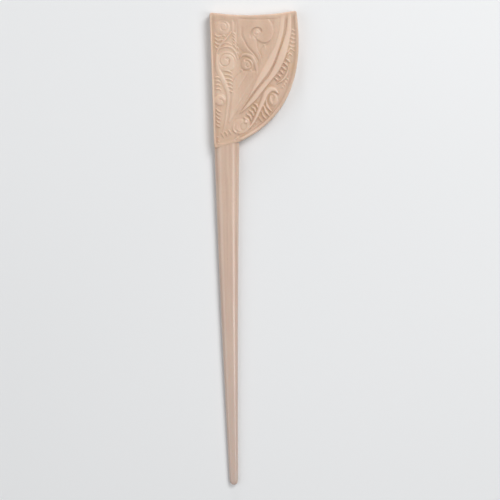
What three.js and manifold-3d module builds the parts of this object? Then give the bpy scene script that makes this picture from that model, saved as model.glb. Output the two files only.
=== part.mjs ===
// Bone folder: a fan-shaped carved head on a long, slender, round-tipped blade.
// Millimetres. The tool lies on its back: +Y runs from the tip towards the head, +X from the
// head's straight side towards its curved side, and +Z comes out of the carved face.
// While it is built, the blade's axis is x = 0 and the foot of the head's straight side is y = 0.
import * as THREE from 'three';
import { mergeVertices } from 'three/addons/utils/BufferGeometryUtils.js';
import Module from 'manifold-3d';

// Head, seen from the carved face
const HEAD_WIDTH = 33.0; // between the top corners
const HEAD_LENGTH = 51.8; // from the foot of the straight side to the top corners
const TOP_SAG = 1.45; // depth of the hollow in the top edge
const SIDE_LEAN = 0.7; // how far the straight side leans outwards on its way up
const SWEEP_BELLY = 1.75; // how far the curved side is pulled out beyond the top corner
const BELLY_HEIGHTS = [0.254, 0.698]; // where it is pulled, as shares of the head's length
const SHOULDER_DIP = 0.4; // height of the joint line's pull, as a share of its rise
const SHOULDER_RISE = 2.4; // how much higher the joint line ends on the curved side
const EDGE_CHAMFER = 0.35;

// Head, through its thickness
const BACK_SKIN = 1.0; // bone behind the mortise
const FRONT_SKIN = 1.3; // bone between the mortise and the carved field
const FIELD_DEPTH = 0.7; // how deep the carved field lies below the rim
const RIM_WIDTH = 1.2;
const LAND_DROP = 0.15; // how far the carved bands and scrolls stay below the rim

// Blade
const BLADE_LENGTH = 128.2; // from the foot of the straight side to the tip
const NECK_WIDTH = 9.6;
const TIP_WIDTH = 3.2;
const NECK_THICKNESS = 4.5;
const TIP_THICKNESS = 2.2;
const TIP_ROUNDING = 2.4; // length of the rounded end
const BLADE_BOW = 0.3; // how far the middle stands off the straight line, towards -X
const FRONT_ROUND = 0.32; // share of the width that each front edge's roundover takes
const BACK_ROUND = 0.14; // share of the width that each back edge's roundover takes
const EDGE_LEVEL = 0.4; // height of the blade's widest line, as a share of its thickness
const TIP_THINNING = 0.35; // share of its thickness that the blade keeps at the very tip

// Joint: a blind mortise and tenon, glued and pegged
const TENON_WIDTH = 6.0;
const TENON_LENGTH = 14.0; // from the foot of the straight side
const TENON_THICKNESS = 1.2;
const TENON_ROOT = 4.0; // how far the tenon's stock runs down inside the blade
const TENON_CORNER = 0.8;
const GLUE_GAP = 0.3; // clearance round the tenon, at the joint line and round each peg
const GLUE_PAD_LENGTH = 1.6; // cured glue in the mortise's blind end
const PEG_DIAMETER = 1.8;
const PEG_BITE = 0.4; // how far a peg reaches into the front skin
const PEG_PLACES = [0.28, 0.74]; // along the tenon, from the joint line to its end

// Sizes that follow from the ones above
const HEAD_THICKNESS = BACK_SKIN + TENON_THICKNESS + 2 * GLUE_GAP + FRONT_SKIN + FIELD_DEPTH;
const FIELD_LEVEL = HEAD_THICKNESS - FIELD_DEPTH;
const TENON_LEVEL = BACK_SKIN + GLUE_GAP;
const MORTISE_END = TENON_LENGTH + GLUE_PAD_LENGTH + 2 * GLUE_GAP;
const PEG_LENGTH = TENON_LEVEL + TENON_THICKNESS + GLUE_GAP + PEG_BITE;

// Facets
const OUTLINE_STEPS = 18;
const BLADE_STEPS = 22;
const TIP_STEPS = 6;
const ROUND_STEPS = 5;
const PEG_SIDES = 24;
const OVERCUT = 1; // how far a cutter runs past what it cuts
const SEAT = 0.2; // how far a raised band is sunk into the field and the rim that carry it
const SAME_POINT = 1e-4; // points closer than this are one

const wasm = await Module();
wasm.setup();

/** The closed geometry as a solid that can be joined and cut. */
function solidOf(geometry) {
  const bare = geometry.index ? geometry.toNonIndexed() : geometry.clone();
  bare.deleteAttribute('normal');
  bare.deleteAttribute('uv');
  const merged = mergeVertices(bare, SAME_POINT);
  const mesh = new wasm.Mesh({
    numProp: 3,
    vertProperties: new Float32Array(merged.attributes.position.array),
    triVerts: new Uint32Array(merged.index.array),
  });
  return new wasm.Manifold(mesh);
}

/** A solid as a three.js geometry. */
function geometryOf(solid) {
  const mesh = solid.getMesh();
  const geometry = new THREE.BufferGeometry();
  geometry.setAttribute('position', new THREE.BufferAttribute(mesh.vertProperties, 3));
  geometry.setIndex(new THREE.BufferAttribute(mesh.triVerts, 1));
  geometry.computeVertexNormals();
  return geometry;
}

/** A flat shape raised from level bottom to level top. */
function prism(shape, bottom, top, bevel = 0) {
  const geometry = new THREE.ExtrudeGeometry(shape, {
    depth: top - bottom - 2 * bevel,
    bevelEnabled: bevel > 0,
    bevelThickness: bevel,
    bevelSize: bevel,
    bevelOffset: -bevel,
    bevelSegments: 2,
    curveSegments: OUTLINE_STEPS,
  });
  geometry.translate(0, 0, bottom + bevel);
  return geometry;
}

// ---- Head outline ----

const footLeft = new THREE.Vector2(-NECK_WIDTH / 2, 0);
const footRight = new THREE.Vector2(NECK_WIDTH / 2, SHOULDER_RISE);
const topLeft = new THREE.Vector2(footLeft.x - SIDE_LEAN, HEAD_LENGTH);
const topRight = new THREE.Vector2(topLeft.x + HEAD_WIDTH, HEAD_LENGTH);

/** The joint line across the neck, a shallow curve that rises towards the curved side. */
const jointLine = new THREE.QuadraticBezierCurve(
  footLeft,
  new THREE.Vector2(0, SHOULDER_RISE * SHOULDER_DIP),
  footRight,
);

/** The head's curved side, from the neck up to the top corner. */
const curvedSide = new THREE.CubicBezierCurve(
  footRight,
  new THREE.Vector2(topRight.x + SWEEP_BELLY, HEAD_LENGTH * BELLY_HEIGHTS[0]),
  new THREE.Vector2(topRight.x + SWEEP_BELLY, HEAD_LENGTH * BELLY_HEIGHTS[1]),
  topRight,
);

/** The hollow top edge, from the curved side back to the straight side. */
const topEdge = new THREE.QuadraticBezierCurve(
  topRight,
  new THREE.Vector2((topLeft.x + topRight.x) / 2, HEAD_LENGTH - 2 * TOP_SAG),
  topLeft,
);

/** Points round the head, anticlockwise from the foot of the straight side. */
function headOutline() {
  const foot = jointLine.getPoints(OUTLINE_STEPS / 2);
  const side = curvedSide.getPoints(2 * OUTLINE_STEPS).slice(1);
  const top = topEdge.getPoints(OUTLINE_STEPS).slice(1);
  const straight = new THREE.LineCurve(topLeft, footLeft).getPoints(OUTLINE_STEPS).slice(1, -1);
  return [...foot, ...side, ...top, ...straight];
}

/** Distance from a point to the closest place on a closed outline. */
function distanceToOutline(point, outline) {
  const nearest = new THREE.Vector3();
  const target = new THREE.Vector3(point.x, point.y, 0);
  const distances = outline.map((start, i) => {
    const end = outline[(i + 1) % outline.length];
    const edge = new THREE.Line3(new THREE.Vector3(start.x, start.y, 0), new THREE.Vector3(end.x, end.y, 0));
    return edge.closestPointToPoint(target, true, nearest).distanceTo(target);
  });
  return Math.min(...distances);
}

/** The outline moved inwards by a distance, without the points that cross over at its corners. */
function insetOutline(outline, distance) {
  const moved = outline.map((point, i) => {
    const before = outline[(i + outline.length - 1) % outline.length];
    const after = outline[(i + 1) % outline.length];
    const along = new THREE.Vector2().subVectors(point, before).normalize();
    const onward = new THREE.Vector2().subVectors(after, point).normalize();
    const normal = new THREE.Vector2(-along.y, along.x);
    const mitre = normal.clone().add(new THREE.Vector2(-onward.y, onward.x)).normalize();
    return point.clone().addScaledVector(mitre, distance / mitre.dot(normal));
  });
  return moved.filter((point) => distanceToOutline(point, outline) > distance - SAME_POINT);
}

/** A place on the carved face: share of the way across to the curved side, and of the way up. */
function place(across, up) {
  const y = HEAD_LENGTH * up;
  const left = THREE.MathUtils.lerp(footLeft.x, topLeft.x, up);
  let low = 0;
  let high = 1;
  while (high - low > SAME_POINT) {
    const middle = (low + high) / 2;
    if (curvedSide.getPoint(middle).y < y) low = middle;
    else high = middle;
  }
  const right = curvedSide.getPoint(low).x;
  return new THREE.Vector2(THREE.MathUtils.lerp(left, right, across), y);
}

// ---- Carved relief: broad bands and scrolls that stand on the sunk field ----

/** A closed ribbon along a centreline; halfWidth(t) gives its half width from start to end. */
function ribbon(centre, halfWidth) {
  const side = (sign) => centre.map((point, i) => {
    const before = centre[Math.max(i - 1, 0)];
    const after = centre[Math.min(i + 1, centre.length - 1)];
    const along = new THREE.Vector2().subVectors(after, before).normalize();
    const offset = sign * halfWidth(i / (centre.length - 1));
    return new THREE.Vector2(point.x - along.y * offset, point.y + along.x * offset);
  });
  return new THREE.Shape([...side(-1), ...side(1).reverse()]);
}

/** Points on a smooth curve through places on the carved face, given as [across, up]. */
function strand(places) {
  return new THREE.SplineCurve(places.map(([across, up]) => place(across, up))).getPoints(OUTLINE_STEPS);
}

/** Points on a spiral that winds out from a small eye; turns may be negative for the other hand. */
function spiral(across, up, eye, radius, turns, startAngle) {
  const centre = place(across, up);
  const steps = Math.ceil(Math.abs(turns) * OUTLINE_STEPS);
  return Array.from({ length: steps + 1 }, (_, i) => {
    const t = i / steps;
    const reach = THREE.MathUtils.lerp(eye, radius, t);
    const angle = startAngle + turns * t * 2 * Math.PI;
    return new THREE.Vector2(centre.x + reach * Math.cos(angle), centre.y + reach * Math.sin(angle));
  });
}

/** A half width that passes through a list of values, evenly spaced from start to end. */
const through = (values) => (t) => {
  const at = t * (values.length - 1);
  const i = Math.min(Math.floor(at), values.length - 2);
  return THREE.MathUtils.lerp(values[i], values[i + 1], at - i);
};

/** A round boss. */
function boss(across, up, radius) {
  const centre = place(across, up);
  return new THREE.Shape().absarc(centre.x, centre.y, radius, 0, 2 * Math.PI);
}

const leftBand = [
  [0.83, 1], [0.813, 0.86], [0.747, 0.72], [0.673, 0.61], [0.596, 0.5], [0.483, 0.33], [0.4, 0.26],
];
const rightBand = [
  [0.9, 1], [0.881, 0.86], [0.83, 0.71], [0.77, 0.59], [0.711, 0.49], [0.594, 0.35], [0.54, 0.29],
];
const greatScroll = [
  [0.578, 0.59], [0.479, 0.73], [0.43, 0.83], [0.5, 0.895], [0.61, 0.87],
];
const sideStrand = [
  [0.05, 0.7], [0.06, 0.6], [0.13, 0.48], [0.22, 0.36], [0.25, 0.22], [0.2, 0.1],
];

const lands = [
  // Two long bands sweep from the top edge down to the foot of the curved side.
  ribbon(strand(leftBand), through([0.8, 0.9, 1.2, 1.5, 1.3, 0.9, 0.4])),
  ribbon(strand(rightBand), through([0.9, 1.0, 1.3, 1.4, 1.3, 0.9, 0.4])),
  // The great scroll: a slim stem that swells, turns over at the top and ends in a fat lobe.
  ribbon(strand(greatScroll), through([0.4, 1.2, 1.6, 1.3, 1.1])),
  boss(0.63, 0.85, 2.1),
  boss(0.515, 0.82, 0.9),
  // Spirals down the straight side, one under the great scroll, and two by the curved side's foot.
  ribbon(spiral(0.15, 0.9, 0.9, 2.4, 1.5, 0), through([0.3, 0.6])),
  ribbon(spiral(0.19, 0.65, 0.9, 2.8, 1.5, 0.5), through([0.3, 0.7])),
  ribbon(spiral(0.12, 0.33, 0.5, 1.6, 1.2, 0.5), through([0.3, 0.4])),
  ribbon(spiral(0.42, 0.62, 0.7, 2.4, -1.4, 0), through([0.3, 0.6])),
  ribbon(spiral(0.83, 0.37, 0.7, 2.4, 1.4, -0.6), through([0.3, 0.6])),
  ribbon(spiral(0.6, 0.17, 0.7, 2.2, -1.4, 1), through([0.3, 0.6])),
  // Slim ridges: beside the stem, down the straight side, and inside the curved side.
  ribbon(strand([[0.32, 0.96], [0.335, 0.84], [0.4, 0.74], [0.5, 0.64]]), through([0.3, 0.5, 0.4, 0.2])),
  ribbon(strand(sideStrand), through([0.2, 0.5, 0.6, 0.6, 0.5, 0.3])),
  ribbon(strand([[0.72, 0.37], [0.74, 0.25], [0.8, 0.15]]), through([0.3, 0.4, 0.2])),
];

// ---- Joint ----

/** A rectangle with rounded corners, centred on the blade's axis, between two heights. */
function tongueShape(width, low, high, corner) {
  const half = width / 2;
  const shape = new THREE.Shape();
  shape.moveTo(-half, low);
  shape.lineTo(half, low);
  shape.lineTo(half, high - corner);
  shape.quadraticCurveTo(half, high, half - corner, high);
  shape.lineTo(-half + corner, high);
  shape.quadraticCurveTo(-half, high, -half, high - corner);
  return shape;
}

const mortise = prism(
  tongueShape(TENON_WIDTH + 2 * GLUE_GAP, -OVERCUT, MORTISE_END, TENON_CORNER),
  TENON_LEVEL - GLUE_GAP,
  TENON_LEVEL + TENON_THICKNESS + GLUE_GAP,
);
const tenon = prism(
  tongueShape(TENON_WIDTH, -TENON_ROOT, TENON_LENGTH, TENON_CORNER),
  TENON_LEVEL,
  TENON_LEVEL + TENON_THICKNESS,
);
const gluePad = prism(
  tongueShape(TENON_WIDTH, TENON_LENGTH + GLUE_GAP, MORTISE_END - GLUE_GAP, TENON_CORNER),
  TENON_LEVEL,
  TENON_LEVEL + TENON_THICKNESS,
);

/** Where a peg stands, for a share of the tenon's length above the joint line. */
function pegCentre(share) {
  return new THREE.Vector2(0, THREE.MathUtils.lerp(SHOULDER_RISE, TENON_LENGTH, share));
}

/** An upright cylinder on a peg's centre, between two levels. */
function pegCylinder(share, diameter, bottom, top) {
  const geometry = new THREE.CylinderGeometry(diameter / 2, diameter / 2, top - bottom, PEG_SIDES);
  geometry.rotateX(Math.PI / 2);
  const centre = pegCentre(share);
  geometry.translate(centre.x, centre.y, (bottom + top) / 2);
  return geometry;
}

/** The hole that a peg fits, from the back up to its blind end. */
function pegHole(share) {
  return solidOf(pegCylinder(share, PEG_DIAMETER + 2 * GLUE_GAP, -OVERCUT, PEG_LENGTH + GLUE_GAP));
}

// ---- Carved head ----

function carvedHead() {
  const outline = headOutline();
  const field = insetOutline(outline, RIM_WIDTH);
  const fieldShape = new THREE.Shape(field);
  const seatShape = new THREE.Shape(insetOutline(outline, RIM_WIDTH - SEAT));
  const seat = solidOf(prism(seatShape, FIELD_LEVEL - SEAT, HEAD_THICKNESS - LAND_DROP));
  let head = solidOf(prism(new THREE.Shape(outline), 0, HEAD_THICKNESS, EDGE_CHAMFER));
  head = head.subtract(solidOf(prism(fieldShape, FIELD_LEVEL, HEAD_THICKNESS + OVERCUT)));
  for (const land of lands) {
    const raised = solidOf(prism(land, FIELD_LEVEL - SEAT, HEAD_THICKNESS - LAND_DROP));
    head = head.add(raised.intersect(seat));
  }
  head = head.subtract(solidOf(mortise));
  for (const share of PEG_PLACES) {
    head = head.subtract(pegHole(share));
  }
  return geometryOf(head);
}

// ---- Blade ----

/** One cross-section's points (x across, z up), anticlockwise seen from the tip. */
function bladeSection(width, thickness, lift) {
  const edge = thickness * EDGE_LEVEL;
  const points = [];
  const roundover = (sign, share, height, from, to) => {
    for (let i = 0; i <= ROUND_STEPS; i += 1) {
      const angle = THREE.MathUtils.lerp(from, to, i / ROUND_STEPS);
      const x = sign * (width * (0.5 - share) + width * share * Math.cos(angle));
      points.push([x, edge + height * Math.sin(angle)]);
    }
  };
  const quarter = Math.PI / 2;
  roundover(1, FRONT_ROUND, thickness - edge, 0, quarter);
  roundover(-1, FRONT_ROUND, thickness - edge, quarter, 0);
  roundover(-1, BACK_ROUND, -edge, 0, quarter);
  roundover(1, BACK_ROUND, -edge, quarter, 0);
  const distinct = points.filter(([x, z], i) => {
    const [px, pz] = points[(i + points.length - 1) % points.length];
    return Math.hypot(x - px, z - pz) > SAME_POINT;
  });
  return distinct.map(([x, z]) => [x, edge + (z - edge) * lift]);
}

/** Distances from the tip at which the blade's sections stand, closer together in the round end. */
function bladeStations(length) {
  const stations = [];
  for (let i = 1; i <= TIP_STEPS; i += 1) {
    stations.push(TIP_ROUNDING * (1 - Math.cos((i / TIP_STEPS) * (Math.PI / 2))));
  }
  for (let i = 1; i <= BLADE_STEPS; i += 1) {
    stations.push(THREE.MathUtils.lerp(TIP_ROUNDING, length, i / BLADE_STEPS));
  }
  return stations;
}

/** The blade's body, lofted from the tip to a little above the joint line. */
function bladeBody() {
  const length = BLADE_LENGTH + SHOULDER_RISE + OVERCUT;
  const positions = [];
  const indices = [];
  const ringAt = (fromTip) => {
    const along = fromTip / BLADE_LENGTH;
    const inRound = Math.max(1 - fromTip / TIP_ROUNDING, 0);
    const roundness = Math.sqrt(1 - inRound * inRound);
    const width = THREE.MathUtils.lerp(TIP_WIDTH, NECK_WIDTH, along) * roundness;
    const thickness = THREE.MathUtils.lerp(TIP_THICKNESS, NECK_THICKNESS, along);
    const bow = BLADE_BOW * (1 - (2 * along - 1) ** 2);
    const lift = THREE.MathUtils.lerp(TIP_THINNING, 1, roundness);
    return bladeSection(width, thickness, lift).map(([x, z]) => [x - bow, fromTip - BLADE_LENGTH, z]);
  };
  const rings = bladeStations(length).map(ringAt);
  const count = rings[0].length;
  const tip = [0, -BLADE_LENGTH, TIP_THICKNESS * EDGE_LEVEL];
  positions.push(...tip, ...rings.flat(2));
  const at = (ring, i) => 1 + ring * count + (i % count);
  for (let i = 0; i < count; i += 1) {
    indices.push(0, at(0, i), at(0, i + 1));
    for (let ring = 0; ring + 1 < rings.length; ring += 1) {
      indices.push(at(ring, i), at(ring + 1, i), at(ring + 1, i + 1));
      indices.push(at(ring, i), at(ring + 1, i + 1), at(ring, i + 1));
    }
  }
  const last = rings.length - 1;
  for (let i = 1; i + 1 < count; i += 1) {
    indices.push(at(last, 0), at(last, i + 1), at(last, i));
  }
  const geometry = new THREE.BufferGeometry();
  geometry.setAttribute('position', new THREE.Float32BufferAttribute(positions, 3));
  geometry.setIndex(indices);
  return geometry;
}

/** Everything above the joint line, which the head takes and the blade's body leaves free. */
function aboveJoint() {
  const line = jointLine.getPoints(OUTLINE_STEPS / 2).map((p) => new THREE.Vector2(p.x, p.y - GLUE_GAP));
  const reach = NECK_WIDTH;
  const first = line[0];
  const last = line[line.length - 1];
  const ceiling = SHOULDER_RISE + 3 * OVERCUT;
  const shape = new THREE.Shape([
    new THREE.Vector2(-reach, ceiling),
    new THREE.Vector2(-reach, first.y),
    ...line,
    new THREE.Vector2(reach, last.y),
    new THREE.Vector2(reach, ceiling),
  ]);
  return prism(shape, -OVERCUT, NECK_THICKNESS + HEAD_THICKNESS);
}

function taperedBlade() {
  let blade = solidOf(bladeBody()).subtract(solidOf(aboveJoint()));
  blade = blade.add(solidOf(tenon));
  for (const share of PEG_PLACES) {
    blade = blade.subtract(pegHole(share));
  }
  return geometryOf(blade);
}

// ---- Materials and assembly ----

const polishedBone = new THREE.MeshStandardMaterial({ color: 0xd0af98, roughness: 0.38, metalness: 0 });
const bladeBone = new THREE.MeshStandardMaterial({ color: 0xcaad99, roughness: 0.3, metalness: 0 });
const pegBone = new THREE.MeshStandardMaterial({ color: 0xdcc6ae, roughness: 0.45, metalness: 0 });
const curedGlue = new THREE.MeshStandardMaterial({ color: 0xb98f5e, roughness: 0.25, metalness: 0 });

/** A named piece. */
function piece(name, geometry, material) {
  const mesh = new THREE.Mesh(geometry, material);
  mesh.name = name;
  return mesh;
}

const tool = new THREE.Group();
tool.add(piece('carved_head', carvedHead(), polishedBone));
tool.add(piece('tapered_blade', taperedBlade(), bladeBone));
tool.add(piece('glue_pad', gluePad, curedGlue));

const pegs = new THREE.Group();
for (const [i, name] of ['lower_peg', 'upper_peg'].entries()) {
  pegs.add(piece(name, pegCylinder(PEG_PLACES[i], PEG_DIAMETER, 0, PEG_LENGTH), pegBone));
}
tool.add(pegs);

// The origin is the middle of the tool's footprint, on the surface that it lies on.
const extent = new THREE.Box3().setFromObject(tool);
const middle = extent.getCenter(new THREE.Vector3());
tool.position.set(-middle.x, -middle.y, -extent.min.z);

export default tool;
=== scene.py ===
"""Carved bone folder: a relief-carved, fan-shaped bone head on a long, slender bone blade.

The tool lies on its back: +Y runs from the blade's tip to the head, +X from the head's straight
side to its curved side, +Z out of the carved face. The frame is in metres. The carver's plan is in
millimetres of a head 51.8 mm long, with its origin on the blade's axis at the foot of the straight
side, and Layout turns it into the frame's metres.
"""

import logging
import math
from dataclasses import dataclass, field
from enum import Enum

import bmesh
import bpy
import numpy as np
from mathutils import Matrix, Vector


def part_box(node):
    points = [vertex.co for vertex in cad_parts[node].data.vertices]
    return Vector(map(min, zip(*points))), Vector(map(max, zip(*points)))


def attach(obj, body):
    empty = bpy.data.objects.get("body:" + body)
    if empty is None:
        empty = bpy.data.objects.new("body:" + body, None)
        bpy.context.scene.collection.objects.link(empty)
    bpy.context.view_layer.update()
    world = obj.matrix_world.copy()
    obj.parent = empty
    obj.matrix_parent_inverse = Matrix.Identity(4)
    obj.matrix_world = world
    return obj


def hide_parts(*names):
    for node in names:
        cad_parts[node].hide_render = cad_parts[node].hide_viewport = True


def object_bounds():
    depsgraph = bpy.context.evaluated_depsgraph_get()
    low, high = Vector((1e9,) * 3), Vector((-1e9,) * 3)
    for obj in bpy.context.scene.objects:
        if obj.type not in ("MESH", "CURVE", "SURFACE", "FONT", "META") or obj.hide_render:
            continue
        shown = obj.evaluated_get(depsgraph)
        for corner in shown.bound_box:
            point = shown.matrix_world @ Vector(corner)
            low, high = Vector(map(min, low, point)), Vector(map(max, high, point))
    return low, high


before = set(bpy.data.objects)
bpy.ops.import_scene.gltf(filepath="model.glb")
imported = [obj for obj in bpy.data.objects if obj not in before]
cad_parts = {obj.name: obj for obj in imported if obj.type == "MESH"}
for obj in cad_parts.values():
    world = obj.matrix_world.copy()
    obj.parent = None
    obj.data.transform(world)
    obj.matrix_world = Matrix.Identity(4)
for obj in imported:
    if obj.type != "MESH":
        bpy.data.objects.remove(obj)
cad_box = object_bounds()

Point = tuple[float, float]
Colour = tuple[float, float, float]
Line = np.ndarray | list[Point]
PEG_NODES = ("lower_peg", "upper_peg")
log = logging.getLogger("bone_folder")


# ---- Layout: from the carver's millimetres to the frame's metres ----


@dataclass(frozen=True)
class Layout:
    """Where the carver's plan lies in the frame, and how large it is."""

    unit: float
    origin: Vector
    face: float

    @classmethod
    def of_frame(cls, head_length: float = 51.8, straight_side: float = -5.5) -> "Layout":
        """Reads the layout off the frame's own head.

        Args:
            head_length: The head's length on the plan.
            straight_side: The plan's place across of the head's straight side.

        Returns:
            Metres in one millimetre of the plan, the plan's origin on the back's level, and the
            rim's height above the back on the plan.
        """
        low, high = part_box("carved_head")
        unit = (high.y - low.y) / head_length
        return cls(unit, Vector((low.x - straight_side * unit, low.y, low.z)), (high.z - low.z) / unit)

    def metres(self, across: np.ndarray, up: np.ndarray, height: np.ndarray) -> np.ndarray:
        """Turns places on the plan into points in the frame.

        Args:
            across: Places across the head.
            up: Places along the tool.
            height: Heights above the back.

        Returns:
            One row of x, y and z for each place.
        """
        plan = np.column_stack([np.ravel(across), np.ravel(up), np.ravel(height)])
        return plan * self.unit + np.array(self.origin)


# ---- Lines that the carver draws ----


def smooth_through(points: list[Point], steps: int = 8) -> np.ndarray:
    """Draws a smooth line through a few places.

    Args:
        points: The places, in order.
        steps: Short straight lengths between two places.

    Returns:
        The line's points, one row each.
    """
    knots = np.array(points, float)
    if len(knots) == 2:
        share = np.linspace(0, 1, steps + 1)[:, None]
        return knots[0] * (1 - share) + knots[1] * share
    padded = np.vstack([2 * knots[0] - knots[1], knots, 2 * knots[-1] - knots[-2]])
    line = [knots[0]]
    for before, start, end, after in zip(padded, padded[1:], padded[2:], padded[3:]):
        for step in range(1, steps + 1):
            t = step / steps
            line.append(
                0.5
                * (
                    2 * start
                    + (end - before) * t
                    + (2 * before - 5 * start + 4 * end - after) * t**2
                    + (3 * start - 3 * end + after - before) * t**3
                )
            )
    return np.array(line)


def drawn(line: Line) -> np.ndarray:
    """A line's points: a list of places is smoothed, and an array is drawn already."""
    return smooth_through(line) if isinstance(line, list) else line


def closed(points: list[Point]) -> np.ndarray:
    """A smooth closed line through a few places, without its first point again at the end."""
    return smooth_through([*points, points[0]])[:-1]


def bent(start: np.ndarray, pull: np.ndarray, end: np.ndarray, share: np.ndarray) -> np.ndarray:
    """The places at some shares of a bent line, which is pulled sideways towards a point."""
    t = share[:, None]
    return (1 - t) ** 2 * start + 2 * t * (1 - t) * pull + t**2 * end


def held(values: np.ndarray) -> np.ndarray:
    """Values held between 0 and 1."""
    return np.clip(values, 0, 1)


def eased(amount: float | np.ndarray, share: np.ndarray) -> np.ndarray:
    """An amount that sets in softly as its share goes from 0 to 1."""
    return amount * share**2 * (3 - 2 * share)


def coil(centre: Point, radii: Point, start: float, sweep: float, steps: int = 48) -> np.ndarray:
    """Draws a spiral.

    Args:
        centre: The spiral's centre.
        radii: Its radius at the start and at the end.
        start: Direction of the start from the centre, in degrees anticlockwise from +X.
        sweep: Degrees that it turns through, negative for clockwise.
        steps: Straight lengths along it.

    Returns:
        The spiral's points, one row each.
    """
    share = np.linspace(0, 1, steps + 1)
    radius = radii[0] + (radii[1] - radii[0]) * share
    angle = np.radians(start + sweep * share)
    return np.column_stack([centre[0] + radius * np.cos(angle), centre[1] + radius * np.sin(angle)])


def nearest_on(line: np.ndarray, x: np.ndarray, y: np.ndarray) -> tuple[np.ndarray, ...]:
    """Finds the nearest place on a line for each of many points.

    Args:
        line: The line's points.
        x: The points' places across.
        y: The points' places along the tool.

    Returns:
        The distance to the line, positive on its left; the share of its segments passed; and the
        nearest place's x and y.
    """
    best = np.full(x.shape, np.inf)
    side = np.ones(x.shape)
    share = np.zeros(x.shape)
    foot_x = np.zeros(x.shape)
    foot_y = np.zeros(x.shape)
    count = len(line) - 1
    for i in range(count):
        ax, ay = line[i]
        dx, dy = line[i + 1] - line[i]
        length = max(dx * dx + dy * dy, 1e-12)
        t = held(((x - ax) * dx + (y - ay) * dy) / length)
        px = ax + t * dx
        py = ay + t * dy
        distance = np.hypot(x - px, y - py)
        closer = distance < best
        best = np.where(closer, distance, best)
        side = np.where(closer, np.sign(dx * (y - ay) - dy * (x - ax)), side)
        share = np.where(closer, (i + t) / count, share)
        foot_x = np.where(closer, px, foot_x)
        foot_y = np.where(closer, py, foot_y)
    return best * np.where(side < 0, -1, 1), share, foot_x, foot_y


def distance_to(line: np.ndarray, x: np.ndarray, y: np.ndarray) -> np.ndarray:
    """The distance from each of many points to a line, on either side of it."""
    return np.abs(nearest_on(line, x, y)[0])


def inside_of(outline: np.ndarray, x: np.ndarray, y: np.ndarray) -> np.ndarray:
    """Tells which points lie inside a closed outline.

    Args:
        outline: The outline's points, with the first repeated at the end.
        x: The points' places across.
        y: The points' places along the tool.

    Returns:
        True for each point inside.
    """
    inside = np.zeros(x.shape, bool)
    for (ax, ay), (bx, by) in zip(outline, outline[1:]):
        if ay == by:
            continue
        crosses = ((ay > y) != (by > y)) & (x < (bx - ax) * (y - ay) / (by - ay) + ax)
        inside ^= crosses
    return inside


# ---- The head's outline ----


@dataclass(frozen=True)
class HeadPlan:
    """The head's outline, seen from the carved face."""

    width: float = 33.0
    length: float = 51.8
    neck: float = 9.6
    side_lean: float = 0.7
    shoulder_rise: float = 2.4
    shoulder_dip: float = 0.4
    top_sag: float = 1.45
    belly: float = 1.75
    belly_low: float = 0.254
    belly_high: float = 0.698
    top_corner: float = 0.8
    foot_corner: float = 0.5
    joint_corner: float = 0.05
    corner_steps: int = 8

    def corners(self) -> tuple[np.ndarray, ...]:
        """The outline's four corners: foot left, foot right, top right, top left."""
        foot_left = np.array([-self.neck / 2, 0.0])
        foot_right = np.array([self.neck / 2, self.shoulder_rise])
        top_left = np.array([foot_left[0] - self.side_lean, self.length])
        top_right = top_left + np.array([self.width, 0.0])
        return foot_left, foot_right, top_right, top_left

    def foot_line(self, steps: int = 24) -> np.ndarray:
        """The joint line across the neck, from the straight side to the curved side."""
        start, end, _, _ = self.corners()
        pull = np.array([0.0, self.shoulder_rise * self.shoulder_dip])
        return bent(start, pull, end, np.linspace(0, 1, steps + 1))

    def curved_side(self, steps: int = 96) -> np.ndarray:
        """The curved side, from the neck up to the top corner."""
        _, start, end, _ = self.corners()
        reach = end[0] + self.belly
        low = np.array([reach, self.length * self.belly_low])
        high = np.array([reach, self.length * self.belly_high])
        t = np.linspace(0, 1, steps + 1)[:, None]
        return (
            (1 - t) ** 3 * start + 3 * t * (1 - t) ** 2 * low + 3 * t**2 * (1 - t) * high + t**3 * end
        )

    def top_edge(self, steps: int = 48) -> np.ndarray:
        """The hollow top edge, from the curved side back to the straight side."""
        _, _, start, end = self.corners()
        pull = np.array([(start[0] + end[0]) / 2, self.length - 2 * self.top_sag])
        return bent(start, pull, end, np.linspace(0, 1, steps + 1))

    def straight_side(self, steps: int = 48) -> np.ndarray:
        """The straight side, from the top corner down to the foot."""
        end, _, _, start = self.corners()
        t = np.linspace(0, 1, steps + 1)[:, None]
        return (1 - t) * start + t * end

    def softened(self, sides: list[np.ndarray], rounding: list[float]) -> np.ndarray:
        """Joins the sides into one closed outline with softened corners.

        Args:
            sides: The four sides, each ending where the next one starts.
            rounding: How far from each side's end its corner starts to turn.

        Returns:
            The outline's points, with the first repeated at the end.
        """
        count = len(sides)
        trimmed = []
        for i, side in enumerate(sides):
            from_start = np.hypot(*(side - side[0]).T)
            from_end = np.hypot(*(side - side[-1]).T)
            keep = (from_start > rounding[i - 1]) & (from_end > rounding[i])
            trimmed.append(side[keep])
        outline = []
        for i, side in enumerate(trimmed):
            corner = sides[i][-1]
            start = side[-1]
            end = trimmed[(i + 1) % count][0]
            turn = bent(start, corner, end, np.linspace(0, 1, self.corner_steps + 1)[1:-1])
            outline += [*side, *turn]
        return np.array([*outline, outline[0]])

    def outline(self) -> np.ndarray:
        """The whole outline, anticlockwise, with the first point repeated at the end."""
        sides = [self.foot_line(), self.curved_side(), self.top_edge(), self.straight_side()]
        corners = [self.joint_corner, self.top_corner, self.top_corner, self.foot_corner]
        return self.softened(sides, corners)


# ---- Strokes of the carving ----

FIELD_LEVEL = -0.52


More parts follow.
